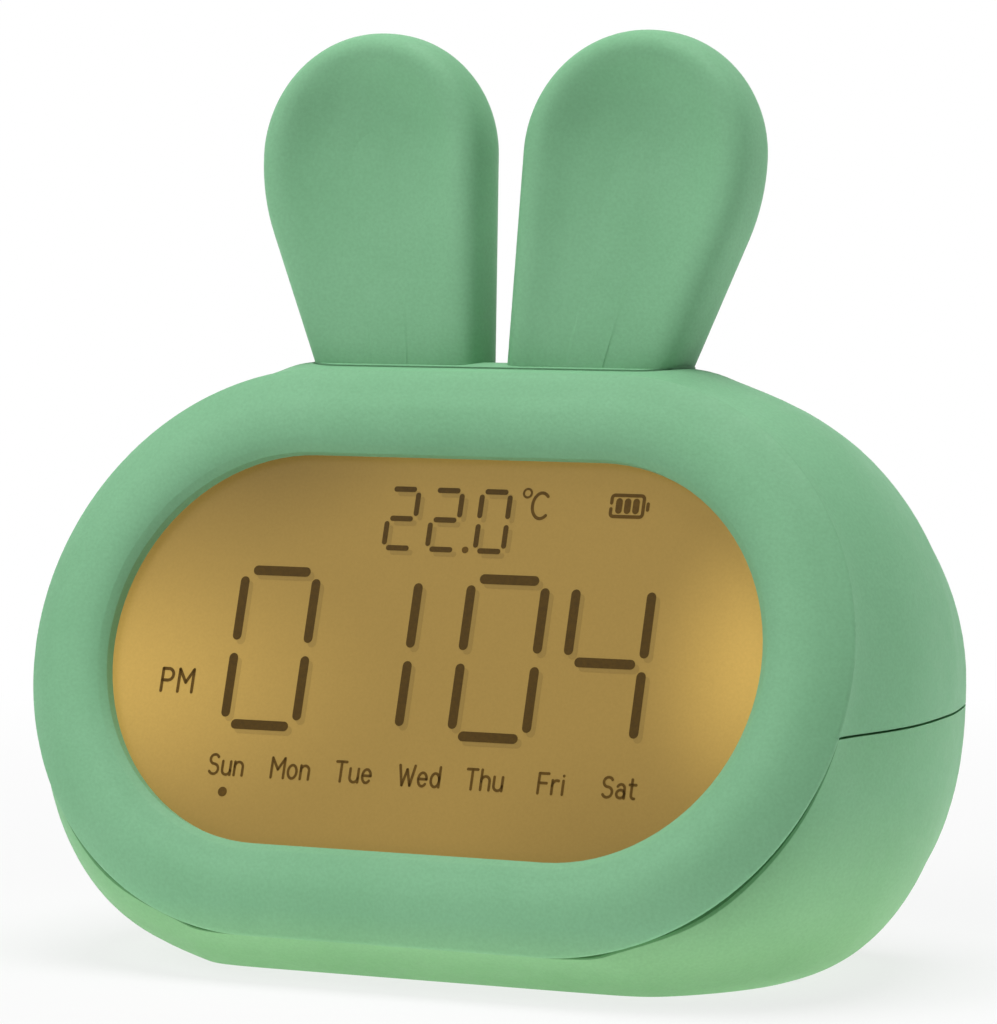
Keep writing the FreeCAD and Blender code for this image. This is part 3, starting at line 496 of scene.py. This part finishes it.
letterStrokes = {       # width, then strokes, for a capital one unit tall
    "P": (0.54, [[(0, 0), (0, 1)],
                 [(0, 1), (0.27, 1)] + arc(0.27, 0.74, 0.26, 0.26, 85, -85) + [(0.27, 0.48), (0, 0.48)]]),
    "M": (0.70, [[(0, 0), (0, 1)], [(0, 1), (0.35, 0.42)], [(0.35, 0.42), (0.70, 1)], [(0.70, 1), (0.70, 0)]]),
    "S": (0.52, [arc(0.27, 0.76, 0.24, 0.24, 30, 265) + arc(0.26, 0.26, 0.26, 0.26, 85, -150)]),
    "u": (0.46, [[(0, 0.68), (0, 0.3)] + arc(0.23, 0.24, 0.23, 0.24, 180, 360), [(0.46, 0.68), (0.46, 0)]]),
    "n": (0.46, [[(0, 0), (0, 0.68)], arc(0.23, 0.44, 0.23, 0.24, 180, 0) + [(0.46, 0)]]),
    "o": (0.48, [arc(0.24, 0.34, 0.24, 0.34, 0, 360, 24)]),
    "T": (0.56, [[(0, 1), (0.56, 1)], [(0.28, 1), (0.28, 0)]]),
    "e": (0.46, [[(0.03, 0.36), (0.45, 0.36)], arc(0.23, 0.34, 0.23, 0.34, 4, 318, 20)]),
    "W": (0.84, [[(0, 1), (0.2, 0)], [(0.2, 0), (0.42, 0.8)], [(0.42, 0.8), (0.64, 0)], [(0.64, 0), (0.84, 1)]]),
    "d": (0.46, [[(0.46, 0), (0.46, 1)], arc(0.23, 0.34, 0.23, 0.34, 0, 360, 24)]),
    "h": (0.46, [[(0, 0), (0, 1)], arc(0.23, 0.44, 0.23, 0.24, 180, 0) + [(0.46, 0)]]),
    "F": (0.50, [[(0, 0), (0, 1)], [(0, 1), (0.5, 1)], [(0, 0.52), (0.42, 0.52)]]),
    "r": (0.32, [[(0, 0), (0, 0.68)], arc(0.24, 0.42, 0.24, 0.26, 180, 70)]),
    "i": (0.05, [[(0.02, 0), (0.02, 0.68)], [(0.02, 0.92), (0.02, 0.93)]]),
    "a": (0.42, [arc(0.21, 0.46, 0.2, 0.22, 150, 0) + [(0.42, 0)], arc(0.21, 0.2, 0.21, 0.2, 0, 360, 20)]),
    "t": (0.34, [[(0.12, 0.94), (0.12, 0.2)] + arc(0.28, 0.18, 0.16, 0.18, 190, 280, 8), [(0, 0.68), (0.34, 0.68)]]),
    "C": (0.66, [arc(0.36, 0.5, 0.36, 0.5, 48, 312, 20)]),
}
# everything that the display shows, in mm across and up its face
marks = {
    "bigDigits": {"places": ((-22.52, "abcdef"), (-8.04, "bc"), (9.52, "abcdef"), (23.95, "fgbc")),
                  "up": 0.0, "halfWide": 5.10, "halfTall": 10.0, "stroke": 1.25, "barLong": 8.2, "postLong": 8.3},
    "smallDigits": {"places": ((-6.67, "abged"), (-0.56, "abged"), (6.12, "abcdef")),
                    "up": 17.38, "halfWide": 1.94, "halfTall": 3.81, "stroke": 0.7, "barLong": 3.2, "postLong": 3.05},
    "tenthsPoint": {"path": ((2.78, 13.63), (2.86, 13.63)), "stroke": 0.85},
    "dayNames": (("Sun", -26.4), ("Mon", -17.2), ("Tue", -8.3), ("Wed", 0.9), ("Thu", 9.9),
                 ("Fri", 18.95), ("Sat", 28.1)),
    "dayUp": -15.3, "dayTall": 2.5, "letterGap": 0.24, "letterStroke": 0.36,
    "dayDot": {"path": ((-26.41, -18.75), (-26.37, -18.75)), "stroke": 1.25},
    # word, centre, up, tall, gap
    "halfDay": {"setting": ("PM", -35.25, -4.75, 2.9, 0.3), "stroke": 0.42},
    "celsius": {"setting": ("C", 12.35, 19.6, 3.3, 0.2), "stroke": 0.42},
    "degree": {"ring": (10.41, 21.16, 0.55, 0.55, 0, 360, 16), "stroke": 0.3},
    "battery": {"left": 22.0, "corners": (22.4, 25.95, 20.85, 18.95), "bend": 20.75, "round": 0.4,
                "gap": (20.25, 19.5), "pole": 26.95, "stroke": 0.45,
                "bars": (23.05, 24.2, 25.35), "barEnds": (19.35, 20.45), "barStroke": 0.9},
    "onGlass": 0.05, "shadowOnGlass": 0.02,
    "shadowShift": (0.62, -0.55),
}


def digitStrokes(look):
    halfBar = (look["barLong"] - look["stroke"]) / 2
    halfPost = (look["postLong"] - look["stroke"]) / 2
    wide, tall, mid = look["halfWide"], look["halfTall"], look["halfTall"] / 2
    middles = {"a": (0, tall), "g": (0, 0), "d": (0, -tall), "b": (wide, mid), "c": (wide, -mid),
               "f": (-wide, mid), "e": (-wide, -mid)}
    strokes = []
    for centre, lit in look["places"]:
        for segment in lit:
            across, up = middles[segment]
            across, up = across + centre, up + look["up"]
            flat = segment in "agd"
            reach = (halfBar, 0) if flat else (0, halfPost)
            strokes.append([(across - reach[0], up - reach[1]), (across + reach[0], up + reach[1])])
    return strokes


def wordStrokes(word, centre, up, tall, gap):
    total = sum(letterStrokes[c][0] for c in word) + gap * (len(word) - 1)
    cursor, strokes = centre - total * tall / 2, []
    for c in word:
        width, paths = letterStrokes[c]
        for path in paths:
            strokes.append([(cursor + x * tall, up + (y - 0.5) * tall) for x, y in path])
        cursor += (width + gap) * tall
    return strokes


def batteryStrokes(look):
    left, right, top, foot = look["corners"]
    rim = [(look["left"], look["gap"][0]), (look["left"], look["bend"])]
    for across, up, angle in ((left, top, 180), (right, top, 90), (right, foot, 0), (left, foot, -90)):
        rim += arc(across, up, look["round"], look["round"], angle, angle - 90, 4)
    return [rim + [(look["left"], look["gap"][1])], [(look["pole"], up) for up in look["gap"]]]


def markPiece(name, groups, finish, out, shift=(0, 0)):
    bm = bmesh.new()
    for width, strokes in groups:
        for path in strokes:
            strokeOutline(bm, [(x + shift[0], y + shift[1]) for x, y in path], width, out)
    mesh = bpy.data.meshes.new(name)
    bm.to_mesh(mesh)
    bm.free()
    piece = bpy.data.objects.new(name, mesh)
    bpy.context.scene.collection.objects.link(piece)
    mesh.materials.append(finish)
    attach(piece, "housing")


dayStrokes = []
for dayName, dayCentre in marks["dayNames"]:
    dayStrokes += wordStrokes(dayName, dayCentre, marks["dayUp"], marks["dayTall"], marks["letterGap"])
batteryBars = [[(across, up) for up in marks["battery"]["barEnds"]] for across in marks["battery"]["bars"]]
segmentGroups = [(marks[digits]["stroke"], digitStrokes(marks[digits])) for digits in ("bigDigits", "smallDigits")]
printGroups = [
    (marks["tenthsPoint"]["stroke"], [marks["tenthsPoint"]["path"]]),
    (marks["letterStroke"], dayStrokes),
    (marks["halfDay"]["stroke"], wordStrokes(*marks["halfDay"]["setting"])),
    (marks["degree"]["stroke"], [arc(*marks["degree"]["ring"])]),
    (marks["celsius"]["stroke"], wordStrokes(*marks["celsius"]["setting"])),
    (marks["battery"]["stroke"], batteryStrokes(marks["battery"])),
    (marks["battery"]["barStroke"], batteryBars),
    (marks["dayDot"]["stroke"], [marks["dayDot"]["path"]]),
]
markPiece("display_segments", segmentGroups, finishes["segment"], marks["onGlass"])
markPiece("display_marks", printGroups, finishes["print"], marks["onGlass"])
markPiece("display_mark_shadows", segmentGroups, finishes["shadow"], marks["shadowOnGlass"], marks["shadowShift"])
print("display marks drawn")


# floor, light and camera
studio = {
    "floorRings": (0.3, 0.8, 2.0, 6.0, 20.0), "floorSides": 48,         # metres, as all of the studio is
    "floorAlbedo": 0.80, "floorSeen": 0.16, "floorLift": 0.78, "floorFade": (0.10, 0.34),
    "glowFrontLeft": 0.52, "glowFrontRight": 0.12, "glowBack": 1.1,     # glow the floor gives off onto the clock, unseen by the camera
    "glowAcross": (-0.1, 0.1), "glowBehind": (-0.06, 0.02),             # where one part of it runs into the next
    "ambient": 0.0,
    "aim": (0, 0, 0.05),
    "top": {"place": (0.1, 0.0, 1.4), "size": 1.0, "share": 1.05},
    "key": {"place": (-0.75, -0.95, 1.05), "size": 0.9, "share": 0.40},
}


def seenDirectly(finish):
    path = addNode(finish, "ShaderNodeLightPath")
    seen = calc(finish, "MAXIMUM", path.outputs["Is Camera Ray"], path.outputs["Is Glossy Ray"])
    return calc(finish, "MAXIMUM", seen, path.outputs["Is Transmission Ray"])


def floorPiece():
    bm = bmesh.new()
    sides = studio["floorSides"]
    centre = bm.verts.new((0, 0, 0))
    before = None
    for radius in studio["floorRings"]:
        turns = [a * math.pi / (sides / 2) for a in range(sides)]
        rim = [bm.verts.new((radius * math.cos(turn), radius * math.sin(turn), 0)) for turn in turns]
        for i in range(sides):
            j = (i + 1) % sides
            if before is None:
                bm.faces.new((centre, rim[i], rim[j]))
            else:
                bm.faces.new((before[i], rim[i], rim[j], before[j]))
        before = rim
    mesh = bpy.data.meshes.new("paleFloor")
    bm.to_mesh(mesh)
    bm.free()
    floor = bpy.data.objects.new("paleFloor", mesh)
    bpy.context.scene.collection.objects.link(floor)
    mesh.materials.append(floorFinish())


def floorFinish():
    finish, shader = startFinish("paleFloor", 0.9)
    seen = seenDirectly(finish)
    join(finish, mixColours(finish, seen, (studio["floorAlbedo"],) * 3, (studio["floorSeen"],) * 3),
         shader.inputs["Base Color"])
    shader.inputs["Specular IOR Level"].default_value = 0.0
    shader.inputs["Emission Color"].default_value = (1, 1, 1, 1)
    place = addNode(finish, "ShaderNodeTexCoord")
    spot = addNode(finish, "ShaderNodeSeparateXYZ")
    join(finish, place.outputs["Object"], spot.inputs[0])
    # the floor glows onto the clock for rays the camera doesn't see: strongest behind, then front left
    front = spread(finish, spot.outputs["X"], *studio["glowAcross"], studio["glowFrontLeft"], studio["glowFrontRight"])
    behind = spread(finish, spot.outputs["Y"], *studio["glowBehind"])
    glow = calc(finish, "ADD", calc(finish, "MULTIPLY", calc(finish, "SUBTRACT", 1.0, behind), front),
                calc(finish, "MULTIPLY", behind, studio["glowBack"]))
    unseen = calc(finish, "SUBTRACT", 1.0, seen)
    lift = calc(finish, "ADD", calc(finish, "MULTIPLY", unseen, glow),
                calc(finish, "MULTIPLY", seen, studio["floorLift"]))
    join(finish, lift, shader.inputs["Emission Strength"])
    # further out the floor runs into the white behind it
    reach = addNode(finish, "ShaderNodeVectorMath", operation="LENGTH")
    join(finish, place.outputs["Object"], reach.inputs[0])
    away = calc(finish, "MULTIPLY", seen, spread(finish, reach.outputs["Value"], *studio["floorFade"]))
    white = addNode(finish, "ShaderNodeEmission")
    blend = addNode(finish, "ShaderNodeMixShader")
    join(finish, away, blend.inputs[0])
    join(finish, shader.outputs[0], blend.inputs[1])
    join(finish, white.outputs[0], blend.inputs[2])
    join(finish, blend.outputs[0], finish.node_tree.nodes["Material Output"].inputs["Surface"])
    return finish


def softLamp(name, look):
    lamp = bpy.data.lights.new(name, "AREA")
    lamp.shape, lamp.size = "DISK", look["size"]
    place = Vector(look["place"])
    aim = Vector(studio["aim"]) - place
    lamp.energy = look["share"] * math.pi ** 2 * aim.length_squared
    holder = bpy.data.objects.new(name, lamp)
    bpy.context.scene.collection.objects.link(holder)
    holder.location = place
    holder.rotation_euler = aim.to_track_quat("-Z", "Y").to_euler()


def paleRoom():
    world = bpy.data.worlds.new("paleRoom")
    bpy.context.scene.world = world
    world.use_nodes = True
    back = world.node_tree.nodes["Background"]
    back.inputs["Color"].default_value = (1, 1, 1, 1)
    strength = spread(world, seenDirectly(world), 0, 1, studio["ambient"], 1.0)
    join(world, strength, back.inputs["Strength"])


# where the photograph was taken from, and the way from the clock to there
camera = {
    "place": (0.27756, -0.56864, 0.10016), "back": (0.43739, -0.89678, 0.06688),
    "lens": 174.66, "sensor": 36.0, "clip": (0.02, 60),
}


def photoCamera():
    lens = bpy.data.cameras.new("photoCamera")
    lens.sensor_fit, lens.sensor_height, lens.sensor_width = "VERTICAL", camera["sensor"], camera["sensor"]
    lens.lens = camera["lens"]
    lens.clip_start, lens.clip_end = camera["clip"]
    holder = bpy.data.objects.new("photoCamera", lens)
    bpy.context.scene.collection.objects.link(holder)
    holder.location = camera["place"]
    holder.rotation_euler = (-Vector(camera["back"])).to_track_quat("-Z", "Y").to_euler()
    bpy.context.scene.camera = holder


floorPiece()
for lampName in ("top", "key"):
    softLamp(lampName + "Lamp", studio[lampName])
paleRoom()
photoCamera()
bpy.context.scene.view_settings.view_transform = "Standard"
print("studio ready")
